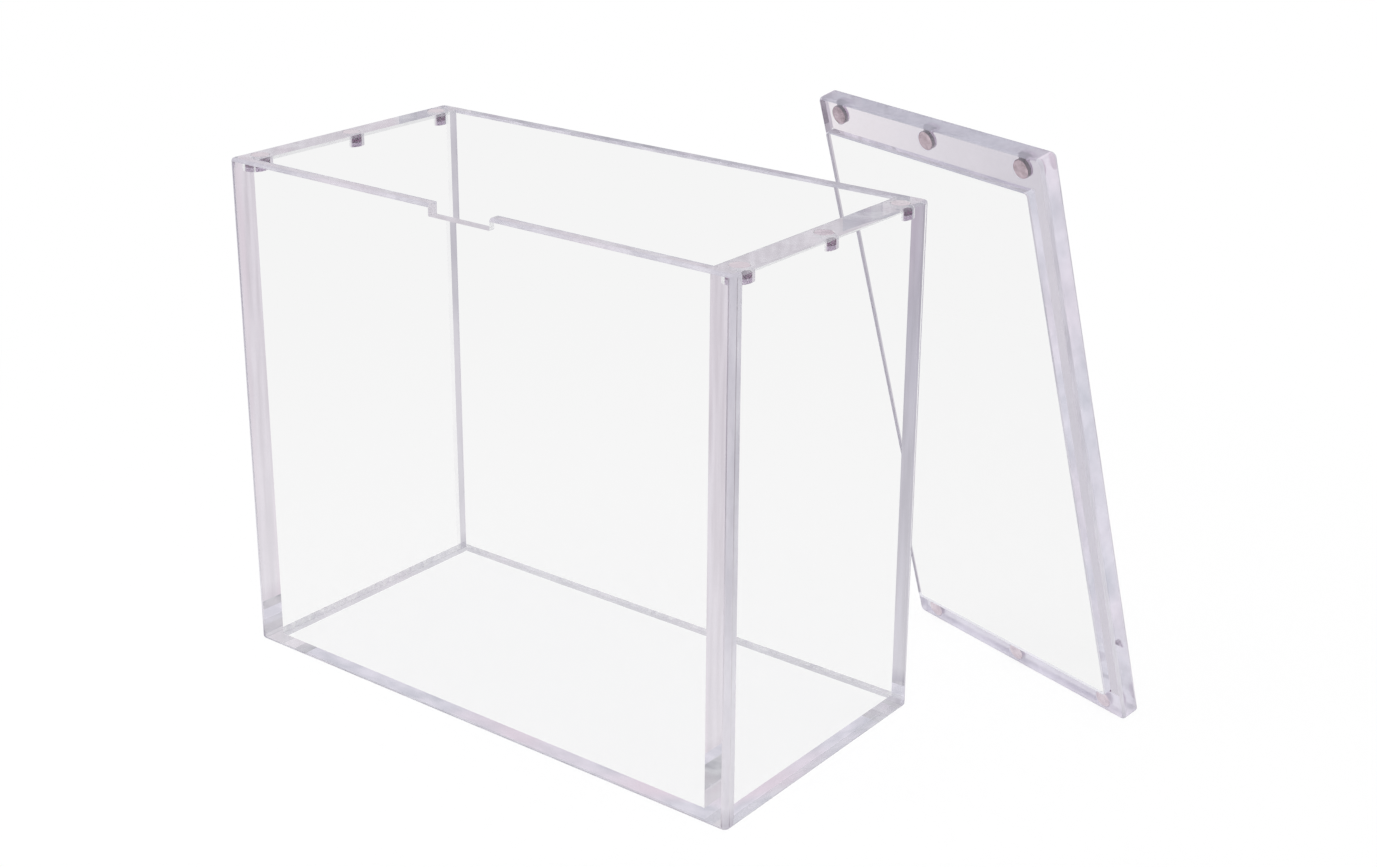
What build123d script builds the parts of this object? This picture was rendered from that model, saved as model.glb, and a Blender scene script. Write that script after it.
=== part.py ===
from build123d import *

import os
from math import cos, radians, sin

# Display case for a boxed set of trading cards: five clear sheets glued into an open box, and a
# lift-off lid that disc magnets hold shut.
#
# Millimetres, +Z up, +X to the right along the case, -Y towards the front panel with the finger notch.
# The origin is the middle of the case's underside. The lid is stored taken off: it stands on one of
# its short ends behind the case and leans on the case's back right top corner.

# Outside of the case, which the lid's outline follows
case_length = 212.0
case_depth = 104.0
case_height = 180.0

# Sheet thicknesses
face_sheet = 4.0
side_sheet = 10.0
base_sheet = 4.0
lid_sheet = 7.0
locating_sheet = 3.0

# Polished edges
upright_radius = 2.0
rim_radius = 1.1
locating_corner_radius = 1.5
locating_edge_radius = 0.4

# Finger notch in the front panel's top edge
notch_width = 26.0
notch_depth = 4.0

# Disc magnets, three to each side panel's top edge and three to each end of the lid
magnet_diameter = 6.35
magnet_thickness = 3.2
magnet_edge = 0.2
pocket_clearance = 0.1
glue_depth = 1.5
# Sheet left between an end pocket and the nearer inner face of the front or back panel
pocket_margin = 2.2

# Gap all round between the locating plate and the case's inner walls
lid_clearance = 0.5

# How the lid is stored: its lean from upright, its turn about the vertical, how far across the lid
# the case's corner comes, and the gap left there
lean_angle = 15.7
turn_angle = 16.6
lean_across = 51.4
lean_clearance = 0.3

# Inside of the case
inner_length = case_length - 2 * side_sheet
inner_depth = case_depth - 2 * face_sheet
face_middle = (case_depth - face_sheet) / 2
side_middle = (case_length - side_sheet) / 2

# Magnet pockets, whose rows in the lid meet those in the case
pocket_radius = magnet_diameter / 2 + pocket_clearance
pocket_depth = magnet_thickness + glue_depth
end_row = inner_depth / 2 - pocket_margin - pocket_radius
case_rows = {
    "front": -end_row,
    "middle": 0.0,
    "back": end_row,
}
lid_rows = {
    "left": -end_row,
    "middle": 0.0,
    "right": end_row,
}

# Locating plate
locating_length = inner_length - 2 * lid_clearance
locating_width = inner_depth - 2 * lid_clearance

# The stored lid's directions: across its width, up its length, and out of its underside
lean = radians(lean_angle)
turn = radians(turn_angle)
level_out = Vector(-sin(turn), -cos(turn), 0)
lid_across = Vector(cos(turn), -sin(turn), 0)
lid_up = level_out * sin(lean) + Vector(0, 0, cos(lean))
lid_out = level_out * cos(lean) - Vector(0, 0, sin(lean))

# The lid's lower edge is lowered until its rounding meets the floor
floor_drop = rim_radius * (cos(lean) + sin(lean) - 1)

# The lid is set back until it clears the rounded corner that it leans on, which comes against the
# locating plate, or against the lid plate where it stands higher than the locating plate reaches
corner_arc = Vector(
    case_length / 2 - upright_radius,
    case_depth / 2 - upright_radius,
    case_height - rim_radius,
)
corner_reach = corner_arc.dot(-lid_out) + (upright_radius - rim_radius) * cos(lean) + rim_radius
corner_up_lid = case_height / cos(lean)
locating_top = (case_length + locating_length) / 2
proud_sheet = locating_sheet if corner_up_lid < locating_top else 0.0
set_back = (corner_reach + proud_sheet + lean_clearance + floor_drop * sin(lean)) / cos(lean)
set_across = corner_arc.dot(lid_across) - lean_across
lid_foot = lid_across * set_across - level_out * set_back - Vector(0, 0, floor_drop)
lid_centre = lid_foot + lid_across * (case_depth / 2) + lid_up * (case_length / 2)
lid_underside = Plane(origin=lid_centre, x_dir=lid_across, z_dir=lid_out)
lid_axis = Axis(lid_centre, lid_out)

os.makedirs("parts", exist_ok=True)

# Front panel: full length and height, outer edges rounded, notch cut square into the top edge
with BuildPart() as front_panel:
    with BuildSketch(Plane.XY) as front_plan:
        with Locations((0, -face_middle)):
            Rectangle(case_length, face_sheet)
        fillet(front_plan.vertices().group_by(Axis.Y)[0], upright_radius)
    extrude(amount=case_height)
    front_rim = front_panel.edges().group_by(Axis.Z)[-1].sort_by(Axis.Y)[:-1]
    front_foot = front_panel.edges().group_by(Axis.Z)[0].sort_by(Axis.Y)[:-1]
    fillet(front_rim + front_foot, rim_radius)
    with BuildSketch(Plane.XZ.offset(case_depth / 2)):
        with Locations((0, case_height - notch_depth / 2)):
            Rectangle(notch_width, notch_depth)
    extrude(amount=-face_sheet, mode=Mode.SUBTRACT)
front_panel.part.label = "front_panel"
export_step(front_panel.part, "parts/front_panel.step")

# Back panel: as the front panel, without a notch
with BuildPart() as back_panel:
    with BuildSketch(Plane.XY) as back_plan:
        with Locations((0, face_middle)):
            Rectangle(case_length, face_sheet)
        fillet(back_plan.vertices().group_by(Axis.Y)[-1], upright_radius)
    extrude(amount=case_height)
    back_rim = back_panel.edges().group_by(Axis.Z)[-1].sort_by(Axis.Y)[1:]
    back_foot = back_panel.edges().group_by(Axis.Z)[0].sort_by(Axis.Y)[1:]
    fillet(back_rim + back_foot, rim_radius)
back_panel.part.label = "back_panel"
export_step(back_panel.part, "parts/back_panel.step")

# Side panels: thick sheets between front and back, with blind magnet pockets in their top edges
for side_name, side in (("left", -1), ("right", 1)):
    with BuildPart() as side_panel:
        with BuildSketch(Plane.XY):
            with Locations((side * side_middle, 0)):
                Rectangle(side_sheet, inner_depth)
        extrude(amount=case_height)
        outward = Axis((0, 0, 0), (side, 0, 0))
        outer_face = side_panel.faces().sort_by(outward)[-1]
        fillet(outer_face.edges().filter_by(Axis.Y), rim_radius)
        with Locations(*[(side * side_middle, row, case_height) for row in case_rows.values()]):
            Hole(pocket_radius, pocket_depth)
    side_panel.part.label = f"{side_name}_side_panel"
    export_step(side_panel.part, f"parts/{side_name}_side_panel.step")

# Base panel: between the four walls, flush with their lower edges
with BuildPart() as base_panel:
    with BuildSketch(Plane.XY):
        Rectangle(inner_length, inner_depth)
    extrude(amount=base_sheet)
base_panel.part.label = "base_panel"
export_step(base_panel.part, "parts/base_panel.step")

# Case magnets, flush with the rim, each on its bed of glue in its pocket
for side_name, side in (("left", -1), ("right", 1)):
    for row_name, row in case_rows.items():
        with BuildPart() as case_magnet:
            with BuildSketch(Plane.XY.offset(case_height)):
                with Locations((side * side_middle, row)):
                    Circle(magnet_diameter / 2)
            extrude(amount=-magnet_thickness)
            chamfer(case_magnet.edges().filter_by(GeomType.CIRCLE), magnet_edge)
        case_magnet.part.label = f"case_magnet_{side_name}_{row_name}"
        export_step(case_magnet.part, f"parts/case_magnet_{side_name}_{row_name}.step")

        with BuildPart() as case_glue:
            with BuildSketch(Plane.XY.offset(case_height - magnet_thickness)):
                with Locations((side * side_middle, row)):
                    Circle(magnet_diameter / 2)
            extrude(amount=-glue_depth)
        case_glue.part.label = f"case_glue_{side_name}_{row_name}"
        export_step(case_glue.part, f"parts/case_glue_{side_name}_{row_name}.step")

# Lid plate: the case's outline, rounded on both faces, with magnet pockets in its underside
with BuildPart() as lid_plate:
    with BuildSketch(lid_underside) as lid_outline:
        Rectangle(case_depth, case_length)
        fillet(lid_outline.vertices(), upright_radius)
    extrude(amount=-lid_sheet)
    under_edges = lid_plate.faces().sort_by(lid_axis)[-1].edges()
    upper_edges = lid_plate.faces().sort_by(lid_axis)[0].edges()
    fillet(under_edges + upper_edges, rim_radius)
    with Locations(lid_underside):
        with Locations(*[(row, end * side_middle) for row in lid_rows.values() for end in (-1, 1)]):
            Hole(pocket_radius, pocket_depth)
lid_plate.part.label = "lid_plate"
export_step(lid_plate.part, "parts/lid_plate.step")

# Locating plate: drops inside the case's walls when the lid is on
with BuildPart() as locating_plate:
    with BuildSketch(lid_underside) as locating_outline:
        Rectangle(locating_width, locating_length)
        fillet(locating_outline.vertices(), locating_corner_radius)
    extrude(amount=locating_sheet)
    fillet(locating_plate.faces().sort_by(lid_axis)[-1].edges(), locating_edge_radius)
locating_plate.part.label = "locating_plate"
export_step(locating_plate.part, "parts/locating_plate.step")

# Lid magnets, flush with the lid plate's underside, named as the lid stands
for end_name, end in (("lower", -1), ("upper", 1)):
    for row_name, row in lid_rows.items():
        with BuildPart() as lid_magnet:
            with BuildSketch(lid_underside):
                with Locations((row, end * side_middle)):
                    Circle(magnet_diameter / 2)
            extrude(amount=-magnet_thickness)
            chamfer(lid_magnet.edges().filter_by(GeomType.CIRCLE), magnet_edge)
        lid_magnet.part.label = f"lid_magnet_{end_name}_{row_name}"
        export_step(lid_magnet.part, f"parts/lid_magnet_{end_name}_{row_name}.step")

        with BuildPart() as lid_glue:
            with BuildSketch(lid_underside.offset(-magnet_thickness)):
                with Locations((row, end * side_middle)):
                    Circle(magnet_diameter / 2)
            extrude(amount=-glue_depth)
        lid_glue.part.label = f"lid_glue_{end_name}_{row_name}"
        export_step(lid_glue.part, f"parts/lid_glue_{end_name}_{row_name}.step")
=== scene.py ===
import math

import bmesh
import bpy
from bpy.props import FloatProperty, IntProperty, PointerProperty
from mathutils import Matrix, Vector


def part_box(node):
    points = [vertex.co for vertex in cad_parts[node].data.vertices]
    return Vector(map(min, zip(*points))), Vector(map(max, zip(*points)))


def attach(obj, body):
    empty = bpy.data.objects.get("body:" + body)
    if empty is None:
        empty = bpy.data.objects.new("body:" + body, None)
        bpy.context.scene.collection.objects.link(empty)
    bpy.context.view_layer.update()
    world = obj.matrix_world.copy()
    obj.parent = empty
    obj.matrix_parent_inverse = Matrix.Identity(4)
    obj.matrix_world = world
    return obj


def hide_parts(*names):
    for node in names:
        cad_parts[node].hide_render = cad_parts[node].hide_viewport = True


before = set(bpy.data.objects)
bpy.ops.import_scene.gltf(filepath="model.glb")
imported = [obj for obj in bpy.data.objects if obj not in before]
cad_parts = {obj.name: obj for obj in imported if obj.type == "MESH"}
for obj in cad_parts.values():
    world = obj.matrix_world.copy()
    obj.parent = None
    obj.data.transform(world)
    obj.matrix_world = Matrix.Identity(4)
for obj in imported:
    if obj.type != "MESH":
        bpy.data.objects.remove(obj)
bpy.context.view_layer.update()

bl_info = {
    "name": "Clear Display Case",
    "version": (1, 0, 0),
    "blender": (4, 5, 0),
    "location": "View3D > Sidebar > Display Case",
    "description": "Dresses a clear acrylic case for boxed cards, with its magnetic lid taken off",
    "category": "Object",
}

MM = 0.001
SIDES = ("left", "right")
ROWS = ("front", "middle", "back")
ENDS = ("lower", "upper")
COLUMNS = ("left", "middle", "right")
CASE_MAGNETS = [f"case_magnet_{side}_{row}" for side in SIDES for row in ROWS]
CASE_GLUE = [f"case_glue_{side}_{row}" for side in SIDES for row in ROWS]
LID_MAGNETS = [f"lid_magnet_{end}_{column}" for end in ENDS for column in COLUMNS]
LID_GLUE = [f"lid_glue_{end}_{column}" for end in ENDS for column in COLUMNS]

# Finishes of the sheets
FACE = "cast_acrylic_face"
REAR_FACE = "cast_acrylic_rear_face"
COOL_FACE = "cast_acrylic_cool_face"
RIM = "flame_polished_edge"
LID_END = "flame_polished_lid_end"
ROUND = "satin_rounding"
BOND = "solvent_bond"
LAMINATE = "laminated_faces"
BORDER = "handled_acrylic"
CEMENT = "dried_cement"
FILLET_SHADE_LINE = "creased_corner"
LID_END_SHADE = "greyed_lid_end"
LID_CORNER_SHADE = "greyed_lid_corner"
TOP = "sawn_lid_top"
GROUND = "ground_edge"
SCUFFED = "scuffed_acrylic"
SHEET_FINISHES = (FACE, REAR_FACE, COOL_FACE, RIM, LID_END, ROUND, BOND, LAMINATE)
SHEET_FINISHES += (BORDER, CEMENT, FILLET_SHADE_LINE, LID_END_SHADE, LID_CORNER_SHADE, TOP, GROUND, SCUFFED)
# Finishes of the pockets, the magnets and the glue
DRILLED = "drilled_acrylic"
WETTED = "wetted_pocket"
SHADED_NICKEL = "tumbled_nickel_plate"
IN_GLUE = "nickel_plate_in_glue"
GLUE = "cloudy_adhesive"

# Facets round a disc and round its pocket
ROUND_FACETS = 64
# How much wider than its magnet a pocket is, on each side
POCKET_SLACK = 0.1 * MM
# The smallest radius that a rounded corner keeps
LEAST_BEND = 0.01 * MM
# A face looks along an axis where its normal's part along it is more than this
FACING = 0.99


# ---------------------------------------------------------------- measures read from the frame

def middle(node):
    """Centre of a node's box."""
    low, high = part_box(node)
    return (low + high) / 2


def vertices(node):
    """Where a node's vertices are."""
    return [vertex.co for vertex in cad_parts[node].data.vertices]


def span(node, direction):
    """Nearest and farthest reach of a node's vertices along a direction."""
    reach = [direction.dot(place) for place in vertices(node)]
    return min(reach), max(reach)


def pocket_radius(low, high):
    """Radius of a magnet's pocket, from the magnet's box."""
    return (high.x - low.x) / 2 + POCKET_SLACK


def lid_basis():
    """The stored lid's own axes and the centre of its underside, from where its magnets lie."""
    across = (middle("lid_magnet_lower_right") - middle("lid_magnet_lower_left")).normalized()
    up = (middle("lid_magnet_upper_middle") - middle("lid_magnet_lower_middle")).normalized()
    out = across.cross(up).normalized()
    centre = sum((middle(node) for node in LID_MAGNETS), Vector()) / len(LID_MAGNETS)
    underside = span(LID_MAGNETS[0], out)[1]
    centre += out * (underside - centre.dot(out))
    basis = Matrix((across, up, out)).transposed().to_4x4()
    basis.translation = centre
    return basis


# ---------------------------------------------------------------- settings

class DisplayCaseSettings(bpy.types.PropertyGroup):
    """Sizes of the clear sheets, the magnets and their glue, and how many facets a rounded edge has."""

    upright_radius: FloatProperty(
        name="Upright radius",
        description="Rounding of the case's and the lid's corner edges",
        default=2.0 * MM,
        min=0.2 * MM,
        unit="LENGTH",
    )
    rim_radius: FloatProperty(
        name="Rim radius",
        description="Rounding of the outer edges at the top, the foot and round the lid",
        default=1.1 * MM,
        min=0.1 * MM,
        unit="LENGTH",
    )
    locating_corner: FloatProperty(
        name="Locating corner",
        description="Corner radius of the plate under the lid",
        default=1.5 * MM,
        unit="LENGTH",
    )
    locating_edge: FloatProperty(
        name="Locating edge",
        description="Edge rounding of the plate under the lid",
        default=0.4 * MM,
        unit="LENGTH",
    )
    joint_gap: FloatProperty(
        name="Joint film",
        description="Thickness of the solvent film between two bonded sheets",
        default=0.03 * MM,
        unit="LENGTH",
    )
    cement_reach: FloatProperty(
        name="Cement reach",
        description="How far dried cement reaches from the left and back inside corners",
        default=2.6 * MM,
        unit="LENGTH",
    )
    ground_reach: FloatProperty(
        name="Ground reach",
        description="Height on the locating plate's upper edge where its ground line starts",
        default=1.5 * MM,
        unit="LENGTH",
    )
    magnet_edge: FloatProperty(
        name="Magnet edge",
        description="Chamfer round a disc magnet's faces",
        default=0.2 * MM,
        unit="LENGTH",
    )
    edge_segments: IntProperty(
        name="Edge segments",
        description="Facets across each rounded edge",
        default=7,
        min=2,
    )


def settings():
    return bpy.context.scene.display_case


# ---------------------------------------------------------------- materials

ACRYLIC_IOR = 1.49
WHITE = "FFFFFF"
# Most of a noise texture's values lie between these
NOISE_LOW, NOISE_HIGH = 0.35, 0.65
# Noise at which clouds are darkest and palest, and at which they start to blush and blush most
DARK_AT, PALE_AT = 0.36, 0.62
BLUSH_START, BLUSH_END = 0.5, 0.7
MOST_BLUSH = 0.7
# Size of the clouds against that of the blushes
BLUSH_SPREAD = 0.3
# Shares of Fresnel's reflection at which a sheet starts to mirror and mirrors wholly
MIRROR_START, MIRROR_END = 0.35, 0.95
# Slants, from 0 when looked at straight to 1 along the surface, at which the painted shade (dusk) starts
# and is full
DUSK_START, DUSK_END = 0.4, 0.5
# Heights between which the painted floor light (paling) sets in above the joint with the base panel, and
# between which it ends
PALING_FOOT, PALING_FULL = 2 * MM, 8 * MM
PALING_EBB, PALING_TOP = 20 * MM, 130 * MM
PALING_COLOUR = "F2F0F4"
# A ray's depth is a whole number: these tell no bounce from one, one from two and five films from six
NO_BOUNCE = 0.5
ONE_BOUNCE = 1.5
FIVE_FILMS = 5.5
# What a sheet leaves of a lamp's light, and the colour that the film in a joint glows with, as painted
# light
SHADED_LIGHT = "FDFDFE"
FILM_COLOUR = "D4D1D9"
# How many to the metre: patches of that film, 8 mm apart, marks and stains on nickel plate, 0.25 and 3 mm
# apart, and bubbles in set adhesive, 1 mm apart
FILM_PATCHES = 120.0
NICKEL_MARKS = 4000.0
NICKEL_STAINS = 350.0
BUBBLES = 900.0
# Where the two colours of the stains, and of the bubbles, lie on their ramps
STAIN_STOPS = (0.3, 0.7)
BUBBLE_STOPS = (0.1, 0.5)


def srgb(code):
    """An sRGB hex colour as linear RGBA."""
    channels = [int(code[i:i + 2], 16) / 255 for i in (0, 2, 4)]
    linear = [c / 12.92 if c <= 0.04045 else ((c + 0.055) / 1.055) ** 2.4 for c in channels]
    return (*linear, 1.0)


def add_node(tree, kind, inputs=None, **details):
    """Adds a node with its settings and links.

    Each input is a value, a socket to link, or a node, which stands for its first output.
    """
    node = tree.nodes.new(kind)
    for key, value in details.items():
        setattr(node, key, value)
    for key, value in (inputs or {}).items():
        value = value.outputs[0] if isinstance(value, bpy.types.Node) else value
        if isinstance(value, bpy.types.NodeSocket):
            tree.links.new(value, node.inputs[key])
        else:
            node.inputs[key].default_value = value
    return node


def new_material(name):
    material = bpy.data.materials.new(name)
    material.use_nodes = True
    material.node_tree.nodes.clear()
    return material.node_tree


def coordinates(tree, stretch=(1, 1, 1)):
    """Object coordinates in metres, squeezed along the axes that a pattern runs along."""
    place = add_node(tree, "ShaderNodeTexCoord").outputs["Object"]
    return add_node(tree, "ShaderNodeMapping", {"Vector": place, "Scale": stretch})


def clouds(tree, dark, pale, blush, millimetres, stretch=(1, 1, 1)):
    """Soft clouds of the sheet's own tint, with a blush here and there."""
    scale = 1 / (millimetres * MM)
    place = coordinates(tree, stretch)
    puffs = add_node(tree, "ShaderNodeTexNoise", {"Vector": place, "Scale": scale, "Detail": 3.0})
    drift = add_node(
        tree,
        "ShaderNodeTexNoise",
        {"Vector": place, "Scale": scale * BLUSH_SPREAD, "Detail": 1.0},
    )
    tone = add_node(tree, "ShaderNodeValToRGB", {"Fac": puffs})
    for stop, value, colour in zip(tone.color_ramp.elements, (DARK_AT, PALE_AT), (dark, pale)):
        stop.position = value
        stop.color = srgb(colour)
    share = add_node(
        tree,
        "ShaderNodeMapRange",
        {"Value": drift, "From Min": BLUSH_START, "From Max": BLUSH_END, "To Max": MOST_BLUSH},
    )
    return add_node(
        tree,
        "ShaderNodeMix",
        {"Factor": share, "A": tone, "B": srgb(blush)},
        data_type="RGBA",
    ).outputs["Result"]


def fade(tree, left, right):
    """Goes from one colour to another across the stored lid."""
    across = Vector(lid_basis().col[0][:3])
    start, end = span("lid_plate", across)
    place = add_node(tree, "ShaderNodeTexCoord").outputs["Object"]
    along = add_node(tree, "ShaderNodeVectorMath", {0: place, 1: across}, operation="DOT_PRODUCT")
    share = add_node(
        tree,
        "ShaderNodeMapRange",
        {"Value": along.outputs["Value"], "From Min": start, "From Max": end},
    )
    return add_node(
        tree,
        "ShaderNodeMix",
        {"Factor": share, "A": srgb(left), "B": srgb(right)},
        data_type="RGBA",
    ).outputs["Result"]


def pale_towards_floor(tree, colour, most):
    """Paints floor light into a colour: it pales towards the floor, whose light gets into an upright sheet.

    The joint with the base panel keeps its colour.
    """
    place = add_node(tree, "ShaderNodeTexCoord").outputs["Object"]
    height = add_node(tree, "ShaderNodeSeparateXYZ", {"Vector": place}).outputs["Z"]
    above_joint = add_node(
        tree,
        "ShaderNodeMapRange",
        {"Value": height, "From Min": PALING_FOOT, "From Max": PALING_FULL, "To Max": most},
    )
    near_floor = add_node(
        tree,
        "ShaderNodeMapRange",
        {"Value": height, "From Min": PALING_EBB, "From Max": PALING_TOP, "To Min": 1.0, "To Max": 0.0},
    )
    share = add_node(tree, "ShaderNodeMath", {0: above_joint, 1: near_floor}, operation="MULTIPLY")
    return add_node(
        tree,
        "ShaderNodeMix",
        {"Factor": share, "A": colour, "B": srgb(PALING_COLOUR)},
        data_type="RGBA",
    ).outputs["Result"]


def acrylic(name, haze, ripple, tint, tone_shift=None, dusk=None, paling=0.0):
    """Clear cast acrylic.

    haze is how much of the surface scatters light, from least to most. ripple is the size, height and
    strength of its unevenness. tint colours what scatters. Light that has been turned back twice inside
    a sheet shows a painted glow: the surface glows with the same tint though no lamp lights it, so an edge
    looks tinted and a face stays clear, and what scatters deep inside, where light reaches it through the
    sheets themselves, glows the same way. tone_shift is a pair of colours that what is seen through the
    surface takes, from the lid's left to its right. dusk is painted shade: the colour that a slanting look
    at the surface meets. paling is how much painted floor light pales the tint near the floor.
    """
    tree = new_material(name)
    path = add_node(tree, "ShaderNodeLightPath").outputs
    bounces, crossings = path["Glossy Depth"], path["Transparent Depth"]
    least, most = haze
    size, height, strength = ripple
    swell = add_node(
        tree,
        "ShaderNodeTexNoise",
        {"Vector": coordinates(tree), "Scale": 1 / size, "Detail": 2.0},
    )
    bump = add_node(tree, "ShaderNodeBump", {"Height": swell, "Strength": strength, "Distance": height})
    # A sheet mirrors only at a low angle, and wholly where light can't leave it
    fresnel = add_node(tree, "ShaderNodeFresnel", {"IOR": ACRYLIC_IOR, "Normal": bump})
    mirrors = add_node(
        tree,
        "ShaderNodeMapRange",
        {"Value": fresnel, "From Min": MIRROR_START, "From Max": MIRROR_END},
    )
    passing = fade(tree, *tone_shift) if tone_shift else srgb(WHITE)
    bent = add_node(
        tree,
        "ShaderNodeBsdfRefraction",
        {"Color": passing, "Roughness": 0.0, "IOR": ACRYLIC_IOR, "Normal": bump},
    )
    gloss = add_node(
        tree,
        "ShaderNodeBsdfAnisotropic",
        {"Color": srgb(WHITE), "Roughness": 0.0, "Normal": bump},
    )
    clear = add_node(tree, "ShaderNodeMixShader", {0: mirrors, 1: bent, 2: gloss})
    milky = add_node(
        tree,
        "ShaderNodeMapRange",
        {"Value": swell, "From Min": NOISE_LOW, "From Max": NOISE_HIGH, "To Min": least, "To Max": most},
    )
    colour = clouds(tree, *tint)
    if paling:
        colour = pale_towards_floor(tree, colour, paling)
    matt = add_node(tree, "ShaderNodeBsdfDiffuse", {"Color": colour})
    # Painted light: the tint as an emission, glowing though no lamp lights it
    glow = add_node(tree, "ShaderNodeEmission", {"Color": colour, "Strength": 1.0})
    # Haze met after a bounce or a crossing shows the painted glow instead of being lit
    met = add_node(tree, "ShaderNodeMath", {0: bounces, 1: crossings}, operation="ADD")
    deep = add_node(tree, "ShaderNodeMath", {0: met, 1: ONE_BOUNCE}, operation="GREATER_THAN")
    scatter = add_node(tree, "ShaderNodeMixShader", {0: deep, 1: matt, 2: glow})
    body = add_node(tree, "ShaderNodeMixShader", {0: milky, 1: clear, 2: scatter})
    if dusk:
        # Painted shade: a slanting look that has not bounced yet meets the dusk colour
        slant = add_node(tree, "ShaderNodeLayerWeight", {"Blend": 0.5}).outputs["Facing"]
        share = add_node(
            tree,
            "ShaderNodeMapRange",
            {"Value": slant, "From Min": DUSK_START, "From Max": DUSK_END},
        )
        direct = add_node(tree, "ShaderNodeMath", {0: bounces, 1: NO_BOUNCE}, operation="LESS_THAN")
        share = add_node(tree, "ShaderNodeMath", {0: share, 1: direct}, operation="MULTIPLY")
        shade = add_node(tree, "ShaderNodeBsdfDiffuse", {"Color": srgb(dusk)})
        body = add_node(tree, "ShaderNodeMixShader", {0: share, 1: body, 2: shade})
    # Light turned back twice inside a sheet shows the painted glow
    trapped = add_node(tree, "ShaderNodeMath", {0: bounces, 1: ONE_BOUNCE}, operation="GREATER_THAN")
    body = add_node(tree, "ShaderNodeMixShader", {0: trapped, 1: body, 2: glow})
    # Lamps and soft light shine through
    let_by = add_node(
        tree,
        "ShaderNodeMath",
        {0: path["Is Shadow Ray"], 1: path["Is Diffuse Ray"]},
        operation="MAXIMUM",
    )
    open_air = add_node(tree, "ShaderNodeBsdfTransparent", {"Color": srgb(SHADED_LIGHT)})
    surface = add_node(tree, "ShaderNodeMixShader", {0: let_by, 1: body, 2: open_air})
    add_node(tree, "ShaderNodeOutputMaterial", {"Surface": surface})


def bond_material(name, least, most):
    """Solvent-bonded joint: the sheets run into each other, and only a trace of the joint shows, as a film
    that glows with its colour as painted light.
    """
    tree = new_material(name)
    patches = add_node(
        tree,
        "ShaderNodeTexNoise",
        {"Vector": coordinates(tree), "Scale": FILM_PATCHES, "Detail": 3.0},
    )
    trace = add_node(
        tree,
        "ShaderNodeMapRange",
        {"Value": patches, "From Min": NOISE_LOW, "From Max": NOISE_HIGH, "To Min": least, "To Max": most},
    )
    path = add_node(tree, "ShaderNodeLightPath").outputs
    # Light that has crossed three joints is taken as scattered for good, and meets the film's painted glow
    spent = add_node(
        tree,
        "ShaderNodeMath",
        {0: path["Transparent Depth"], 1: FIVE_FILMS},
        operation="GREATER_THAN",
    )
    let_by = add_node(
        tree,
        "ShaderNodeMath",
        {0: path["Is Shadow Ray"], 1: path["Is Diffuse Ray"]},
        operation="MAXIMUM",
    )
    seen = add_node(tree, "ShaderNodeMath", {0: 1.0, 1: let_by}, operation="SUBTRACT")
    share = add_node(tree, "ShaderNodeMath", {0: trace, 1: seen}, operation="MULTIPLY")
    lost = add_node(tree, "ShaderNodeMath", {0: spent, 1: seen}, operation="MULTIPLY")
    total = add_node(tree, "ShaderNodeMath", {0: share, 1: lost}, operation="MAXIMUM")
    clear = add_node(tree, "ShaderNodeBsdfTransparent", {"Color": srgb(WHITE)})
    # Painted light: the film glows with its colour, though no lamp lights it
    film = add_node(tree, "ShaderNodeEmission", {"Color": srgb(FILM_COLOUR), "Strength": 1.0})
    mix = add_node(tree, "ShaderNodeMixShader", {0: total, 1: clear, 2: film})
    add_node(tree, "ShaderNodeOutputMaterial", {"Surface": mix})


def nickel_material(name, face, side):
    """Nickel plate on a disc magnet: bright but slightly satin, with tumbling marks, and its side painted
    dark as shade in its pocket.
    """
    tree = new_material(name)
    # Tumbling marks, drawn 0.25 mm apart so that they show
    marks = add_node(
        tree,
        "ShaderNodeTexNoise",
        {"Vector": coordinates(tree), "Scale": NICKEL_MARKS, "Detail": 2.0},
    )
    tone_shift = add_node(
        tree,
        "ShaderNodeTexNoise",
        {"Vector": coordinates(tree), "Scale": NICKEL_STAINS, "Detail": 2.0},
    )
    tone = add_node(tree, "ShaderNodeValToRGB", {"Fac": tone_shift})
    for stop, value, colour in zip(tone.color_ramp.elements, STAIN_STOPS, face):
        stop.position = value
        stop.color = srgb(colour)
    # Painted shade: the disc's side takes the darker side colour
    wall = add_node(tree, "ShaderNodeAttribute", attribute_name="wall").outputs["Fac"]
    colour = add_node(tree, "ShaderNodeMix", {"Factor": wall, "A": tone, "B": srgb(side)}, data_type="RGBA")
    gloss = add_node(tree, "ShaderNodeMapRange", {"Value": marks, "To Min": 0.16, "To Max": 0.34})
    bump = add_node(tree, "ShaderNodeBump", {"Height": marks, "Strength": 0.08, "Distance": 0.02 * MM})
    metal = add_node(
        tree,
        "ShaderNodeBsdfPrincipled",
        {
            "Base Color": colour.outputs["Result"],
            "Metallic": 1.0,
            "Roughness": gloss,
            "Normal": bump,
        },
    )
    add_node(tree, "ShaderNodeOutputMaterial", {"Surface": metal})


def adhesive_material():
    """Set clear adhesive: cloudy, with a painted reflection of the magnet above it in its lilac, and a few
    small bubbles.
    """
    tree = new_material(GLUE)
    bubbles = add_node(tree, "ShaderNodeTexVoronoi", {"Vector": coordinates(tree), "Scale": BUBBLES})
    # Painted reflection: the lilac stands for the magnet above, seen in the glue
    tone = add_node(tree, "ShaderNodeValToRGB", {"Fac": bubbles})
    for stop, value, colour in zip(tone.color_ramp.elements, BUBBLE_STOPS, ("D9CCDC", "B8A2BC")):
        stop.position = value
        stop.color = srgb(colour)
    glue = add_node(
        tree,
        "ShaderNodeBsdfPrincipled",
        {
            "Base Color": tone,
            "Roughness": 0.35,
            "IOR": 1.48,
            "Transmission Weight": 0.3,
        },
    )
    add_node(tree, "ShaderNodeOutputMaterial", {"Surface": glue})


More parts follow.
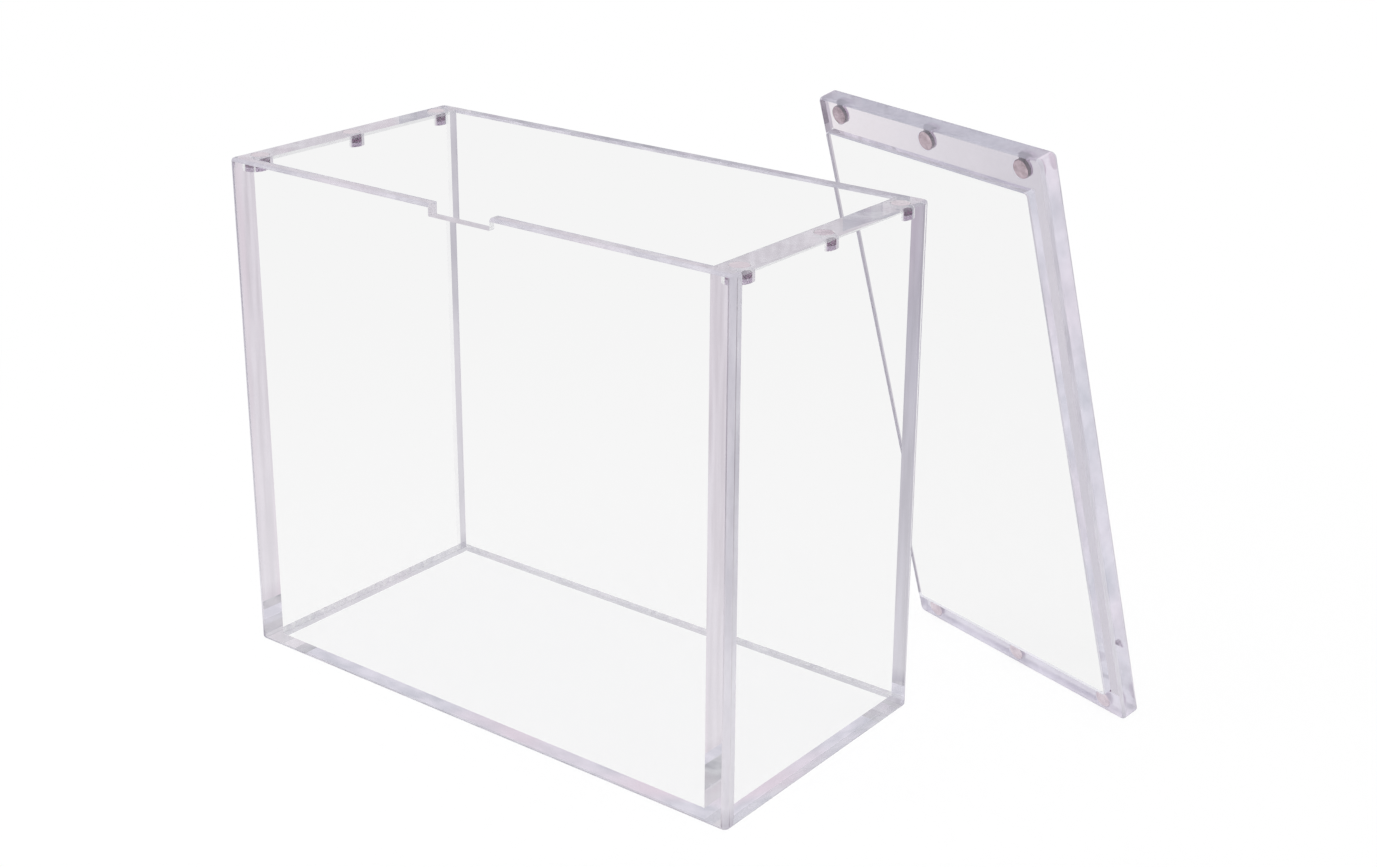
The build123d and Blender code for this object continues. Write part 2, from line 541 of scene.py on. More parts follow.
def palette():
    """Every finish of the case, made once."""
    if FACE not in bpy.data.materials:
        # Tints, which colour what scatters and the painted glow: dark, pale and blush, the clouds' size in
        # mm, and the squeeze that draws them out upwards into streaks, painted reflections of the sheet's
        # edges
        upright = ("CDC6CE", "DDD7DF", "DDD0DA", 5.0, (1, 1, 0.12))
        rear = ("A8A5B0", "BAB7C3", "BDB0C1", 5.0, (1, 1, 0.12))
        lavender = ("A9A9B0", "CACACF", "C2BEC4", 9.0)
        slanted = ("C6C6D1", "DEDBE6", "E2D2DE", 14.0)
        satin = ("B5B2BC", "C9C6CF", "CAC3CC", 9.0, (1, 1, 0.3))
        fillet_line_tint = ("98929D", "ABA5B0", "A79BA8", 9.0, (1, 1, 0.2))
        sawn = ("9E9CA9", "B2B0BC", "B6ADB9", 14.0)
        ground = ("A7A3AD", "B9B5BF", "B6AEBA", 9.0)
        scuff = ("CCC9D4", "DDDAE4", "E2D4DE", 14.0)
        breath = ("DEDCE6", "ECE6EE", "F0E2E9", 40.0)
        cement = ("BBB9C0", "CAC8CE", "CDC6CE", 12.0)
        # Ripples: size, height and strength
        still = (30 * MM, 0.3 * MM, 0.02)
        wavy = (14 * MM, 0.3 * MM, 0.06)
        worked = (10 * MM, 0.1 * MM, 0.05)
        # Cast sheet, untouched: clear, with a swell too shallow to see but in what it mirrors
        acrylic(FACE, (0.0, 0.0), still, upright, paling=0.4)
        # The back panel's copy glows a darker tint: painted shade
        acrylic(REAR_FACE, (0.0, 0.0), still, rear, paling=0.4)
        acrylic(COOL_FACE, (0.0, 0.0), still, slanted)
        # Sawn and flame polished: clear with a soft mottle and low waves
        acrylic(RIM, (0.25, 0.5), (9 * MM, 0.3 * MM, 0.06), lavender)
        acrylic(LID_END, (0.4, 0.6), wavy, slanted)
        # Edges rounded by hand: satin, greyer
        acrylic(ROUND, (0.85, 0.95), worked, satin, paling=0.4)
        # Where the front's rounded corners start and end: a thin dark line of painted shade
        acrylic(FILLET_SHADE_LINE, (0.8, 0.95), worked, fillet_line_tint, paling=0.6)
        # The lid's upper end: sawn, a greyer lilac than the rest
        acrylic(TOP, (0.65, 0.85), wavy, sawn)
        # The left ends of the lid's sheets: painted shade, grey where looked at along the face and darker
        # by the upper corner
        acrylic(LID_END_SHADE, (0.1, 0.3), wavy, slanted, dusk="B2AEB8")
        acrylic(LID_CORNER_SHADE, (0.1, 0.3), wavy, slanted, dusk="877F8C")
        # The locating plate's upper edge: a ground line along its corner
        acrylic(GROUND, (0.7, 0.85), worked, ground)
        # The lid's lower border, where it stands: scuffed
        acrylic(SCUFFED, (0.5, 0.7), (14 * MM, 0.1 * MM, 0.02), scuff, tone_shift=("ECE8F0", "E4DFEA"))
        # The border that the locating plate leaves free: a breath of haze from handling, and what is seen
        # through it darker towards the lid's right
        acrylic(BORDER, (0.1, 0.2), (15 * MM, 0.1 * MM, 0.02), breath, tone_shift=("F6F0F4", "D1CDD6"))
        # Cement that crept out of the joint and dried in the inside corner: a cloudy strip
        acrylic(CEMENT, (0.5, 0.8), (2 * MM, 0.1 * MM, 0.1), cement)
        # Glued joints: a faint uneven film, shown as a painted glow
        bond_material(BOND, 0.03, 0.1)
        # Drilled: a satin wall, finely uneven
        acrylic(DRILLED, (0.1, 0.4), (0.5 * MM, 0.03 * MM, 0.3), lavender)
        # The lid's pockets, wetted by the adhesive right up their walls: nearly unseen
        bond_material(WETTED, 0.0, 0.04)
        # Two faces laminated without a bubble: as if of one piece
        bond_material(LAMINATE, 0.0, 0.004)
        # The lid's upper magnets: caps painted greyer and sides painted dark as shade, which show as
        # crescents
        nickel_material(SHADED_NICKEL, ("AA99A1", "D1C0C8"), "4E3C48")
        # The other magnets: pale caps, with a side painted a darker lilac as shade
        nickel_material(IN_GLUE, ("CFC2CC", "E2D6DE"), "80587A")
        adhesive_material()
    return bpy.data.materials


# ---------------------------------------------------------------- sheets

def rounded_outline(low, high, free, radius, inset, segments):
    """A sheet's outline as (x, y, side) points, anticlockwise, where side names the stretch that follows.

    Free sides move in by inset. A corner between two free sides is rounded, less the inset, and the first
    and the last stretch of its arc are its bends.
    """
    x0 = low[0] + (inset if "x-" in free else 0)
    x1 = high[0] - (inset if "x+" in free else 0)
    y0 = low[1] + (inset if "y-" in free else 0)
    y1 = high[1] - (inset if "y+" in free else 0)
    corners = (
        (x0, y0, "x-", "y-", math.pi),
        (x1, y0, "y-", "x+", 1.5 * math.pi),
        (x1, y1, "x+", "y+", 0.0),
        (x0, y1, "y+", "x-", 0.5 * math.pi),
    )
    points = []
    for x, y, before, after, start in corners:
        if before in free and after in free:
            bend = max(radius - inset, LEAST_BEND)
            centre_x = x + bend * (1 if x == x0 else -1)
            centre_y = y + bend * (1 if y == y0 else -1)
            for step in range(segments + 1):
                angle = start + step / segments * math.pi / 2
                side = after if step == segments else "bend" if step in (0, segments - 1) else "corner"
                points.append((centre_x + bend * math.cos(angle), centre_y + bend * math.sin(angle), side))
        else:
            points.append((x, y, after))
    return points


def rim_profile(low, high, radius_low, radius_high, segments):
    """(inset, height) of each ring from the sheet's low face to its high one."""
    rings = []
    for radius, end, sign in ((radius_low, low, 1), (radius_high, high, -1)):
        if not radius:
            rings.append([(0.0, end)])
            continue
        arc = []
        for step in range(segments + 1):
            angle = step / segments * math.pi / 2
            arc.append((radius * (1 - math.sin(angle)), end + sign * radius * (1 - math.cos(angle))))
        rings.append(arc if sign > 0 else arc[::-1])
    return rings[0] + rings[1]


def sheet_object(name, low, high, free, radii, choose, scores=(), mark=None):
    """A closed sheet between two corners, with the finish of each stretch picked by choose(zone, side).

    radii holds the corner radius, the low rim's and the high rim's. zone is low, high, rim or wall.
    Faces are split along the scores, pairs of an axis and a place on it, and then mark(centre, normal)
    gives another finish, or None, for each face.
    """
    corner, rim_low, rim_high = radii
    segments = settings().edge_segments
    profile = rim_profile(low[2], high[2], rim_low, rim_high, segments)
    mesh = bmesh.new()
    rings = []
    for inset, height in profile:
        outline = rounded_outline(low, high, free, corner, inset, segments)
        rings.append([mesh.verts.new((x, y, height)) for x, y, side in outline])
        sides = [side for x, y, side in outline]
    wall_level = segments if rim_low else 0
    for level, (lower, upper) in enumerate(zip(rings, rings[1:])):
        zone = "wall" if level == wall_level else "rim"
        for i, side in enumerate(sides):
            j = (i + 1) % len(sides)
            face = mesh.faces.new((lower[i], lower[j], upper[j], upper[i]))
            face.material_index = SHEET_FINISHES.index(choose(zone, side))
    mesh.faces.new(rings[0][::-1]).material_index = SHEET_FINISHES.index(choose("low", ""))
    mesh.faces.new(rings[-1]).material_index = SHEET_FINISHES.index(choose("high", ""))
    bmesh.ops.recalc_face_normals(mesh, faces=mesh.faces)
    for axis, place in scores:
        direction = Vector([float(i == axis) for i in range(3)])
        everything = mesh.verts[:] + mesh.edges[:] + mesh.faces[:]
        bmesh.ops.bisect_plane(mesh, geom=everything, plane_co=direction * place, plane_no=direction)
    for face in mesh.faces:
        finish = mark and mark(face.calc_center_median(), face.normal)
        if finish:
            face.material_index = SHEET_FINISHES.index(finish)
    return mesh_object(name, mesh, SHEET_FINISHES)


def mesh_object(name, mesh, finishes):
    """A new piece from a mesh in the making."""
    data = bpy.data.meshes.new(name)
    mesh.to_mesh(data)
    mesh.free()
    for finish in finishes:
        data.materials.append(palette()[finish])
    return linked(name, data)


def linked(name, data):
    """A new object in the scene."""
    piece = bpy.data.objects.new(name, data)
    bpy.context.scene.collection.objects.link(piece)
    return piece


def cylinder_cutter(name, centres, radius, depth, finish):
    """One mesh of blind holes going down from each centre."""
    mesh = bmesh.new()
    proud = 1 * MM
    for centre in centres:
        place = Matrix.Translation((centre[0], centre[1], (proud - depth) / 2 + centre[2]))
        bmesh.ops.create_cone(
            mesh,
            cap_ends=True,
            segments=ROUND_FACETS,
            radius1=radius,
            radius2=radius,
            depth=depth + proud,
            matrix=place,
        )
    bmesh.ops.recalc_face_normals(mesh, faces=mesh.faces)
    return mesh_object(name, mesh, (finish,))


def box_cutter(name, low, high, finish):
    """A square cut between two corners."""
    mesh = bmesh.new()
    size = Vector(high) - Vector(low)
    centre = (Vector(high) + Vector(low)) / 2
    bmesh.ops.create_cube(mesh, size=1.0, matrix=Matrix.Translation(centre) @ Matrix.Diagonal((*size, 1)))
    bmesh.ops.recalc_face_normals(mesh, faces=mesh.faces)
    return mesh_object(name, mesh, (finish,))


def cut(piece, cutter):
    """Cuts the cutter out of the piece and drops the cutter. The cut faces keep the cutter's finish."""
    boolean = piece.modifiers.new("cut", "BOOLEAN")
    boolean.object = cutter
    boolean.operation = "DIFFERENCE"
    boolean.solver = "EXACT"
    boolean.material_mode = "TRANSFER"
    settle(piece)
    bpy.data.objects.remove(cutter)


def settle(piece):
    """Turns the piece's modifiers into its plain mesh."""
    graph = bpy.context.evaluated_depsgraph_get()
    data = bpy.data.meshes.new_from_object(
        piece.evaluated_get(graph),
        preserve_all_data_layers=True,
        depsgraph=graph,
    )
    old = piece.data
    piece.modifiers.clear()
    piece.data = data
    data.name = piece.name
    bpy.data.meshes.remove(old)


def shade(piece, angle=35.0):
    """Smooth across rounded edges, flat on faces."""
    piece.data.shade_smooth()
    piece.data.set_sharp_from_angle(angle=math.radians(angle))
    weighted = piece.modifiers.new("weighted normals", "WEIGHTED_NORMAL")
    weighted.keep_sharp = True
    weighted.weight = 100
    settle(piece)


def dress(piece, body, slot, *nodes):
    """Puts a finished piece on its body in place of its nodes."""
    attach(piece, body)
    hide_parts(*nodes)


class DISPLAYCASE_OT_face_panels(bpy.types.Operator):
    """Builds the front and back panels, with the finger notch in the front one's top edge"""

    bl_idname = "display_case.face_panels"
    bl_label = "Front and Back Panels"

    def execute(self, context):
        own = settings()
        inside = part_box("base_panel")
        for node, outer in (("front_panel", "y-"), ("back_panel", "y+")):
            low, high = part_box(node)
            inward = 1 if outer == "y-" else -1

            def choose(zone, side):
                # Painted shade: a thin dark line where the front's rounded corners start and end
                if side == "bend" and zone == "wall" and outer == "y-":
                    return FILLET_SHADE_LINE
                if side in ("bend", "corner") or zone == "rim":
                    return ROUND
                if zone in ("low", "high"):
                    return RIM
                if outer == "y-" and side in ("x-", "x+"):
                    return ROUND
                return FACE if outer == "y-" else REAR_FACE

            def mark(centre, normal):
                if normal.y * inward < FACING:
                    return None
                if abs(centre.x) > inside[1].x or centre.z < inside[1].z:
                    return BOND
                crept = outer == "y+" and centre.z < inside[1].z + own.cement_reach / 2
                return CEMENT if crept else None

            radii = (own.upright_radius, own.rim_radius, own.rim_radius)
            scores = (
                (0, inside[0].x),
                (0, inside[1].x),
                (2, inside[1].z),
                (2, inside[1].z + own.cement_reach / 2),
            )
            sides = ("x-", "x+", outer)
            piece = sheet_object(f"{node}_sheet", low, high, sides, radii, choose, scores, mark)
            if node == "front_panel":
                self.notch(piece, low, high)
            shade(piece)
            dress(piece, "case", "clear_acrylic", node)
        return {"FINISHED"}

    def notch(self, piece, low, high):
        """The notch is as wide and deep as the frame's: its floor is the top edge's lowest part."""
        search, slack, proud = 20 * MM, 0.1 * MM, 2 * MM
        top = [place for place in vertices("front_panel") if high.z - search < place.z]
        floor = min(place.z for place in top)
        half = max(abs(place.x) for place in top if place.z < floor + slack)
        cutter = box_cutter(
            "notch_cutter",
            (-half, low.y - proud, floor),
            (half, high.y + proud, high.z + proud),
            RIM,
        )
        cut(piece, cutter)


class DISPLAYCASE_OT_side_panels(bpy.types.Operator):
    """Builds the two thick side panels and drills their magnet pockets"""

    bl_idname = "display_case.side_panels"
    bl_label = "Side Panels"

    def execute(self, context):
        own = settings()
        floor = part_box("base_panel")[1].z
        for name in SIDES:
            low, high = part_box(f"{name}_side_panel")
            outer, inward = ("x-", 1) if name == "left" else ("x+", -1)
            low = low + Vector((0, own.joint_gap, 0))
            high = high - Vector((0, own.joint_gap, 0))

            def choose(zone, side):
                if zone in ("low", "high", "rim"):
                    return RIM
                return FACE

            def mark(centre, normal):
                if abs(normal.y) > FACING:
                    return BOND
                if normal.x * inward < FACING:
                    return None
                if centre.z < floor:
                    return BOND
                return CEMENT if name == "left" and centre.z < floor + own.cement_reach else None

            radii = (0.0, own.rim_radius, own.rim_radius)
            scores = ((2, floor), (2, floor + own.cement_reach))
            piece = sheet_object(f"{name}_side_sheet", low, high, (outer,), radii, choose, scores, mark)
            pockets = [f"case_magnet_{name}_{row}" for row in ROWS]
            glue = [f"case_glue_{name}_{row}" for row in ROWS]
            centres = [(middle(node).x, middle(node).y, high.z) for node in pockets]
            radius = pocket_radius(*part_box(pockets[0]))
            depth = high.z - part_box(glue[0])[0].z
            cutter = cylinder_cutter("pocket_cutter", centres, radius, depth, DRILLED)
            cut(piece, cutter)
            shade(piece)
            dress(piece, "case", "clear_acrylic", f"{name}_side_panel")
        return {"FINISHED"}


class DISPLAYCASE_OT_base_panel(bpy.types.Operator):
    """Builds the base panel between the four walls"""

    bl_idname = "display_case.base_panel"
    bl_label = "Base Panel"

    def execute(self, context):
        own = settings()
        low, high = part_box("base_panel")
        low = low + Vector((own.joint_gap, own.joint_gap, 0))
        high = high - Vector((own.joint_gap, own.joint_gap, 0))
        left, back = low.x + own.cement_reach, high.y - own.cement_reach

        def choose(zone, side):
            return BOND if zone == "wall" else COOL_FACE

        def mark(centre, normal):
            crept = centre.x < left or centre.y > back
            return CEMENT if normal.z > FACING and crept else None

        scores = ((0, left), (1, back))
        piece = sheet_object("base_sheet", low, high, (), (0.0, 0.0, 0.0), choose, scores, mark)
        shade(piece)
        dress(piece, "case", "clear_acrylic", "base_panel")
        return {"FINISHED"}


class DISPLAYCASE_OT_lid_plates(bpy.types.Operator):
    """Builds the lid plate with its pockets, and the locating plate under it"""

    bl_idname = "display_case.lid_plates"
    bl_label = "Lid Plates"

    def execute(self, context):
        own = settings()
        basis = lid_basis()
        plate = self.extent("lid_plate", basis)
        locating = self.extent("locating_plate", basis)
        half_width, half_length = locating[1].x, locating[1].y

        def choose(zone, side):
            if side == "y+" and zone in ("rim", "wall"):
                return TOP
            if zone == "rim":
                return ROUND
            return COOL_FACE if zone in ("low", "high") else LID_END

        def border(centre, normal):
            # The left ends: painted shade where looked at slantwise, darker by the upper corner
            if normal.x < -FACING:
                return LID_CORNER_SHADE if centre.y > half_length else LID_END_SHADE
            if normal.z < FACING:
                return None
            if centre.y < -half_length:
                return SCUFFED
            inside = abs(centre.x) < half_width and abs(centre.y) < half_length
            return LAMINATE if inside else BORDER

        def back(centre, normal):
            if normal.x < -FACING:
                return LID_END_SHADE
            if normal.y > FACING:
                return GROUND if centre.z > own.ground_reach else BORDER
            return LAMINATE if normal.z < -FACING else None

        free = ("x-", "x+", "y-", "y+")
        radii = (own.upright_radius, own.rim_radius, own.rim_radius)
        scores = ((0, -half_width), (0, half_width), (1, -half_length), (1, half_length))
        sheet = sheet_object("lid_sheet", *plate, free, radii, choose, scores, border)
        self.drill(sheet, basis)
        radii = (own.locating_corner, 0.0, own.locating_edge)
        locating[0].z += own.joint_gap
        scores = ((2, own.ground_reach),)
        pad = sheet_object("locating_sheet", *locating, free, radii, choose, scores, back)
        for piece, node in ((sheet, "lid_plate"), (pad, "locating_plate")):
            piece.data.transform(basis)
            shade(piece)
            dress(piece, "lid", "clear_acrylic", node)
        return {"FINISHED"}

    def extent(self, node, basis):
        """A node's low and high corner in the lid's own axes."""
        axes = [Vector(basis.col[i][:3]) for i in range(3)]
        reach = [span(node, axis) for axis in axes]
        start = Vector([axis.dot(basis.translation) for axis in axes])
        return Vector([low for low, high in reach]) - start, Vector([high for low, high in reach]) - start

    def drill(self, sheet, basis):
        inverse = basis.inverted()
        out = Vector(basis.col[2][:3])
        centres = [inverse @ middle(magnet) for magnet in LID_MAGNETS]
        centres = [(centre.x, centre.y, 0.0) for centre in centres]
        radius = pocket_radius(*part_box(CASE_MAGNETS[0]))
        depth = out.dot(basis.translation) - span(LID_GLUE[0], out)[0]
        cutter = cylinder_cutter("pocket_cutter", centres, radius, depth, WETTED)
        cut(sheet, cutter)


# ---------------------------------------------------------------- magnets and glue

def disc_tree():
    """A node tree that sets a chamfered disc, face up, at each point of a mesh."""
    name = "chamfered_discs"
    if name in bpy.data.node_groups:
        return bpy.data.node_groups[name]
    tree = bpy.data.node_groups.new(name, "GeometryNodeTree")
    sockets = (
        ("Points", "INPUT", "NodeSocketGeometry"),
        ("Radius", "INPUT", "NodeSocketFloat"),
        ("Thickness", "INPUT", "NodeSocketFloat"),
        ("Chamfer", "INPUT", "NodeSocketFloat"),
        ("Facing", "INPUT", "NodeSocketRotation"),
        ("Seed", "INPUT", "NodeSocketInt"),
        ("Material", "INPUT", "NodeSocketMaterial"),
        ("Discs", "OUTPUT", "NodeSocketGeometry"),
    )
    for title, direction, kind in sockets:
        tree.interface.new_socket(title, in_out=direction, socket_type=kind)
    given = add_node(tree, "NodeGroupInput").outputs
    waist = add_node(
        tree,
        "ShaderNodeMath",
        {0: given["Chamfer"], 1: -2.0, 2: given["Thickness"]},
        operation="MULTIPLY_ADD",
    )
    shrink = add_node(tree, "ShaderNodeMath", {0: given["Chamfer"], 1: given["Radius"]}, operation="DIVIDE")
    shrink = add_node(tree, "ShaderNodeMath", {0: 1.0, 1: shrink}, operation="SUBTRACT")
    body = add_node(
        tree,
        "GeometryNodeMeshCylinder",
        {"Vertices": ROUND_FACETS, "Radius": given["Radius"], "Depth": waist},
    )
    shape = add_node(
        tree,
        "GeometryNodeStoreNamedAttribute",
        {"Geometry": body.outputs["Mesh"], "Name": "wall", "Value": body.outputs["Side"]},
        data_type="FLOAT",
        domain="FACE",
    )
    for end in ("Top", "Bottom"):
        grown = add_node(
            tree,
            "GeometryNodeExtrudeMesh",
            {"Mesh": shape, "Selection": body.outputs[end], "Offset Scale": given["Chamfer"]},
        )
        scaled = add_node(
            tree,
            "GeometryNodeScaleElements",
            {"Geometry": grown.outputs["Mesh"], "Selection": grown.outputs["Top"], "Scale": shrink},
        )
        shape = scaled.outputs[0]
    sink = add_node(tree, "ShaderNodeMath", {0: given["Thickness"], 1: -0.5}, operation="MULTIPLY")
    drop = add_node(tree, "ShaderNodeCombineXYZ", {"Z": sink})
    disc = add_node(tree, "GeometryNodeTransform", {"Geometry": shape, "Translation": drop})
    copies = add_node(
        tree,
        "GeometryNodeInstanceOnPoints",
        {"Points": given["Points"], "Instance": disc, "Rotation": given["Facing"]},
    )
    # Of the random node's sockets, these are the float's maximum and its result
    maximum, result = 3, 1
    spin = add_node(
        tree,
        "FunctionNodeRandomValue",
        {maximum: math.tau, "Seed": given["Seed"]},
        data_type="FLOAT",
    ).outputs[result]
    turned = add_node(tree, "ShaderNodeCombineXYZ", {"Z": spin})
    copies = add_node(tree, "GeometryNodeRotateInstances", {"Instances": copies, "Rotation": turned})
    real = add_node(tree, "GeometryNodeRealizeInstances", {"Geometry": copies})
    done = add_node(tree, "GeometryNodeSetMaterial", {"Geometry": real, "Material": given["Material"]})
    add_node(tree, "NodeGroupOutput", {"Discs": done})
    return tree


def discs(name, points, values):
    """Chamfered discs at the points, as one plain mesh."""
    data = bpy.data.meshes.new(name)
    data.from_pydata(points, [], [])
    piece = linked(name, data)
    nodes = piece.modifiers.new("discs", "NODES")
    nodes.node_group = disc_tree()
    sockets = {item.name: item.identifier for item in nodes.node_group.interface.items_tree}
    for title, value in values.items():
        nodes[sockets[title]] = value
    settle(piece)
    shade(piece)
    return piece


def disc_set(name, nodes, out, material, seed, chamfer, trim=0.0):
    """Discs in place of a set of equal nodes, whose faces look along out, thinner by trim at each face."""
    inner, outer = span(nodes[0], out)
    left, right = span(nodes[0], out.orthogonal().normalized())
    thickness = outer - inner
    points = [middle(node) + out * (thickness / 2 - trim) for node in nodes]
    values = {
        "Radius": (right - left) / 2,
        "Thickness": thickness - 2 * trim,
        "Chamfer": chamfer,
        "Facing": out.to_track_quat("Z", "Y").to_euler(),
        "Seed": seed,
        "Material": palette()[material],
    }
    return discs(name, points, values)


class DISPLAYCASE_OT_magnets(bpy.types.Operator):
    """Sets the nickel-plated disc magnets into the side panels and the lid plate"""

    bl_idname = "display_case.magnets"
    bl_label = "Disc Magnets"

    def execute(self, context):
        lid_out = Vector(lid_basis().col[2][:3])
        half = len(LID_MAGNETS) // 2
        for name, nodes, out, body, seed, finish in (
            ("case_magnets", CASE_MAGNETS, Vector((0, 0, 1)), "case", 3, IN_GLUE),
            ("lid_magnets_upper", LID_MAGNETS[half:], lid_out, "lid", 8, SHADED_NICKEL),
            ("lid_magnets_lower", LID_MAGNETS[:half], lid_out, "lid", 7, IN_GLUE),
        ):
            piece = disc_set(name, nodes, out, finish, seed, settings().magnet_edge)
            dress(piece, body, "nickel_plate", *nodes)
        return {"FINISHED"}


class DISPLAYCASE_OT_adhesive(bpy.types.Operator):
    """Lays the bed of set adhesive under each magnet"""

    bl_idname = "display_case.adhesive"
    bl_label = "Adhesive Beds"

    def execute(self, context):
        lid_out = Vector(lid_basis().col[2][:3])
        film = settings().joint_gap
        for name, nodes, out, body, seed in (
            ("case_adhesive", CASE_GLUE, Vector((0, 0, 1)), "case", 5),
            ("lid_adhesive", LID_GLUE, lid_out, "lid", 6),
        ):
            piece = disc_set(name, nodes, out, GLUE, seed, chamfer=film, trim=film)
            dress(piece, body, "set_adhesive", *nodes)
        return {"FINISHED"}


# ---------------------------------------------------------------- stage

# Degrees: round the case, above the horizon, and the roll of the picture
CAMERA_AZIMUTH = 37.63
CAMERA_ELEVATION = 19.92
CAMERA_ROLL = 0.4
CAMERA_PLACE = Vector((445.6, -513.0, 358.8)) * MM
# Millimetres on a sensor of this width, and a share of that width
CAMERA_LENS = 55.94
CAMERA_SENSOR = 36.0
CAMERA_SHIFT = -0.045
CAMERA_NEAREST = 10 * MM
BACKDROP_SEEN_THROUGH = "F5F5F5"
FLOOR_PAPER = "F4F4F4"
FLOOR_FINISH = "studio_floor"
# Half the floor's width, and how far it lies under the case
FLOOR_REACH = 4.0
FLOOR_DROP = 0.3 * MM
# Distances between which the floor's shadows fade out, and how plain its white is at the first
SHADOW_REACH = (0.15, 0.45)
SHADOWED_WHITE = 0.85
# Brightness of the surround where only its light counts
SURROUND_LIGHT = 0.8
# Name, place, width and power of each lamp, and what they all point at
LAMPS = (
    ("key_softbox", (-0.9, -1.0, 1.5), 1.2, 14.0),
    ("fill_softbox", (1.4, -0.5, 1.1), 1.0, 6.0),
)
LAMPS_AIM = Vector((0, 0, 80 * MM))


def studio_rays(tree):
    """1 for rays that show the backdrop, and its colour: white seen direct, a shade darker otherwise."""
    ray = add_node(tree, "ShaderNodeLightPath").outputs
    bent = add_node(
        tree,
        "ShaderNodeMath",
        {0: ray["Is Glossy Ray"], 1: ray["Is Transmission Ray"]},
        operation="MAXIMUM",
    )
    shown = add_node(tree, "ShaderNodeMath", {0: ray["Is Camera Ray"], 1: bent}, operation="MAXIMUM")
    colour = add_node(
        tree,
        "ShaderNodeMix",
        {"Factor": bent, "A": srgb(WHITE), "B": srgb(BACKDROP_SEEN_THROUGH)},
        data_type="RGBA",
    ).outputs["Result"]
    return shown, colour


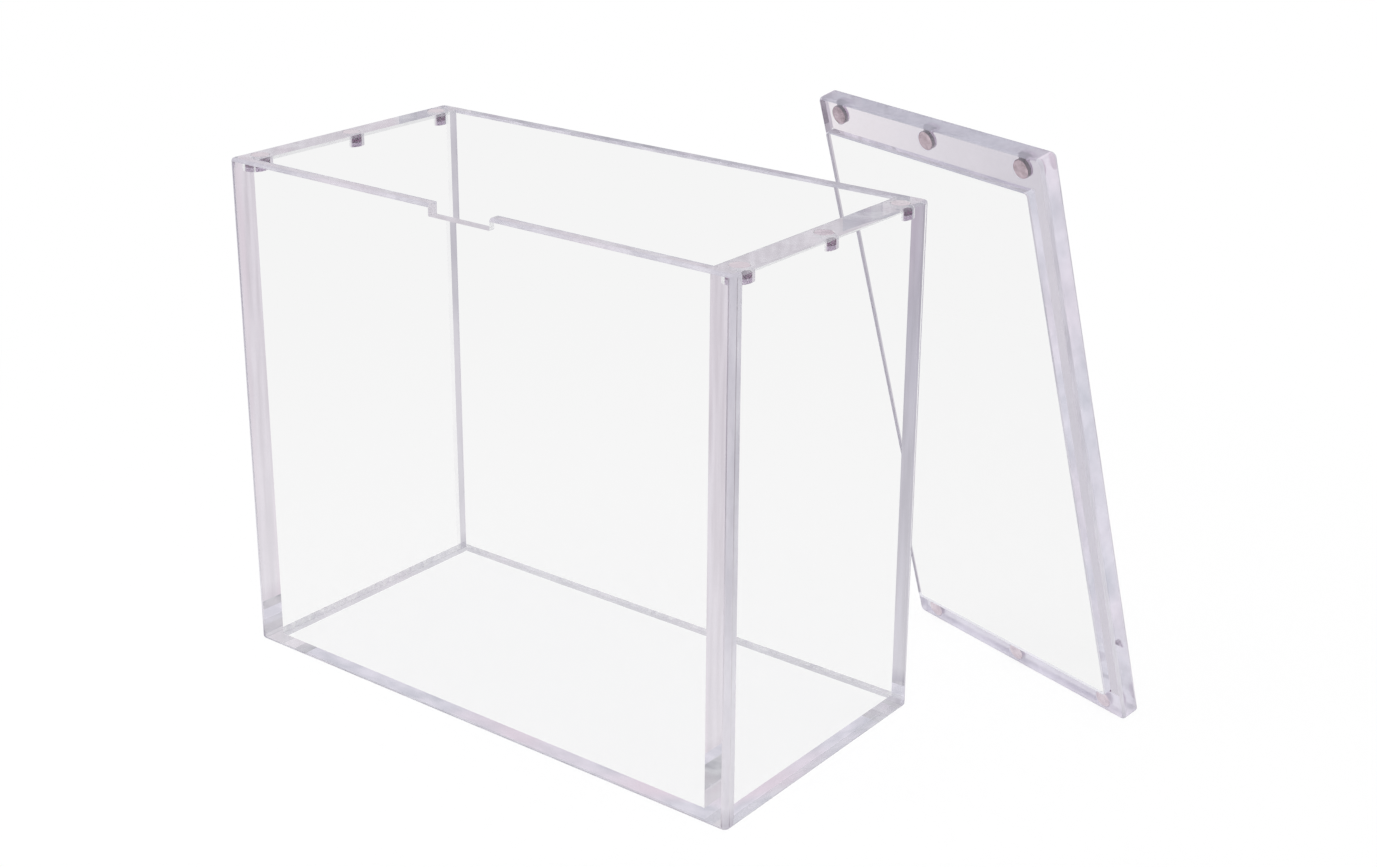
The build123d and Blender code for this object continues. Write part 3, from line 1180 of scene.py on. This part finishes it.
class DISPLAYCASE_OT_stage(bpy.types.Operator):
    """Sets the pale floor, the soft lamps, the pale surround and the camera"""

    bl_idname = "display_case.stage"
    bl_label = "Studio Stage"

    def execute(self, context):
        self.floor()
        self.surround(context.scene)
        self.lamps()
        self.camera(context.scene)
        context.scene.view_settings.view_transform = "Standard"
        return {"FINISHED"}

    def floor(self):
        """White paper that takes the object's shadow close to it and is plain white further off."""
        data = bpy.data.meshes.new("floor")
        signs = ((-1, -1), (1, -1), (1, 1), (-1, 1))
        corners = [(x * FLOOR_REACH, y * FLOOR_REACH, -FLOOR_DROP) for x, y in signs]
        data.from_pydata(corners, [], [(0, 1, 2, 3)])
        floor = linked("floor", data)
        tree = new_material(FLOOR_FINISH)
        shown, colour = studio_rays(tree)
        glow = add_node(tree, "ShaderNodeEmission", {"Color": colour, "Strength": 1.0})
        paper = add_node(tree, "ShaderNodeBsdfDiffuse", {"Color": srgb(FLOOR_PAPER)})
        place = add_node(tree, "ShaderNodeTexCoord").outputs["Object"]
        distance = add_node(tree, "ShaderNodeVectorMath", {0: place}, operation="LENGTH").outputs["Value"]
        near, far = SHADOW_REACH
        plain = add_node(
            tree,
            "ShaderNodeMapRange",
            {"Value": distance, "From Min": near, "From Max": far, "To Min": SHADOWED_WHITE, "To Max": 1.0},
        )
        share = add_node(tree, "ShaderNodeMath", {0: shown, 1: plain}, operation="MULTIPLY")
        mix = add_node(tree, "ShaderNodeMixShader", {0: share, 1: paper, 2: glow})
        add_node(tree, "ShaderNodeOutputMaterial", {"Surface": mix})
        data.materials.append(bpy.data.materials[FLOOR_FINISH])

    def surround(self, scene):
        world = bpy.data.worlds.new("studio_surround")
        world.use_nodes = True
        tree = world.node_tree
        tree.nodes.clear()
        shown, colour = studio_rays(tree)
        level = add_node(
            tree,
            "ShaderNodeMapRange",
            {"Value": shown, "To Min": SURROUND_LIGHT, "To Max": 1.0},
        )
        sky = add_node(tree, "ShaderNodeBackground", {"Color": colour, "Strength": level})
        add_node(tree, "ShaderNodeOutputWorld", {"Surface": sky})
        scene.world = world

    def lamps(self):
        for name, place, size, power in LAMPS:
            light = bpy.data.lights.new(name, "AREA")
            light.size = size
            light.energy = power
            lamp = linked(name, light)
            lamp.location = place
            lamp.rotation_euler = (LAMPS_AIM - Vector(place)).to_track_quat("-Z", "Y").to_euler()
            lamp.visible_camera = False
            lamp.visible_glossy = False
            lamp.visible_transmission = False

    def camera(self, scene):
        data = bpy.data.cameras.new("camera")
        data.lens = CAMERA_LENS
        data.sensor_width = CAMERA_SENSOR
        data.shift_y = CAMERA_SHIFT
        data.clip_start = CAMERA_NEAREST
        azimuth, elevation = math.radians(CAMERA_AZIMUTH), math.radians(CAMERA_ELEVATION)
        ahead = Vector(
            (
                -math.sin(azimuth) * math.cos(elevation),
                math.cos(azimuth) * math.cos(elevation),
                -math.sin(elevation),
            )
        )
        camera = linked("camera", data)
        turn = ahead.to_track_quat("-Z", "Y").to_matrix().to_4x4()
        roll = Matrix.Rotation(math.radians(CAMERA_ROLL), 4, "Z")
        camera.matrix_world = Matrix.Translation(CAMERA_PLACE) @ turn @ roll
        scene.camera = camera


# ---------------------------------------------------------------- panel and registration

OPERATORS = (
    DISPLAYCASE_OT_face_panels,
    DISPLAYCASE_OT_side_panels,
    DISPLAYCASE_OT_base_panel,
    DISPLAYCASE_OT_lid_plates,
    DISPLAYCASE_OT_magnets,
    DISPLAYCASE_OT_adhesive,
    DISPLAYCASE_OT_stage,
)


class DISPLAYCASE_PT_panel(bpy.types.Panel):
    """Lists the case's pieces in the sidebar"""

    bl_idname = "DISPLAYCASE_PT_panel"
    bl_label = "Display Case"
    bl_space_type = "VIEW_3D"
    bl_region_type = "UI"
    bl_category = "Display Case"

    def draw(self, context):
        own = context.scene.display_case
        for name in own.__annotations__:
            self.layout.prop(own, name)
        for operator in OPERATORS:
            self.layout.operator(operator.bl_idname)


CLASSES = (DisplayCaseSettings, *OPERATORS, DISPLAYCASE_PT_panel)


def register():
    for item in CLASSES:
        bpy.utils.register_class(item)
    bpy.types.Scene.display_case = PointerProperty(type=DisplayCaseSettings)


def unregister():
    del bpy.types.Scene.display_case
    for item in reversed(CLASSES):
        bpy.utils.unregister_class(item)


def main():
    register()
    for operator in OPERATORS:
        step = operator.bl_idname.split(".")[1]
        if getattr(bpy.ops.display_case, step)() != {"FINISHED"}:
            raise RuntimeError(f"{step} did not finish")


if __name__ == "__main__":
    main()
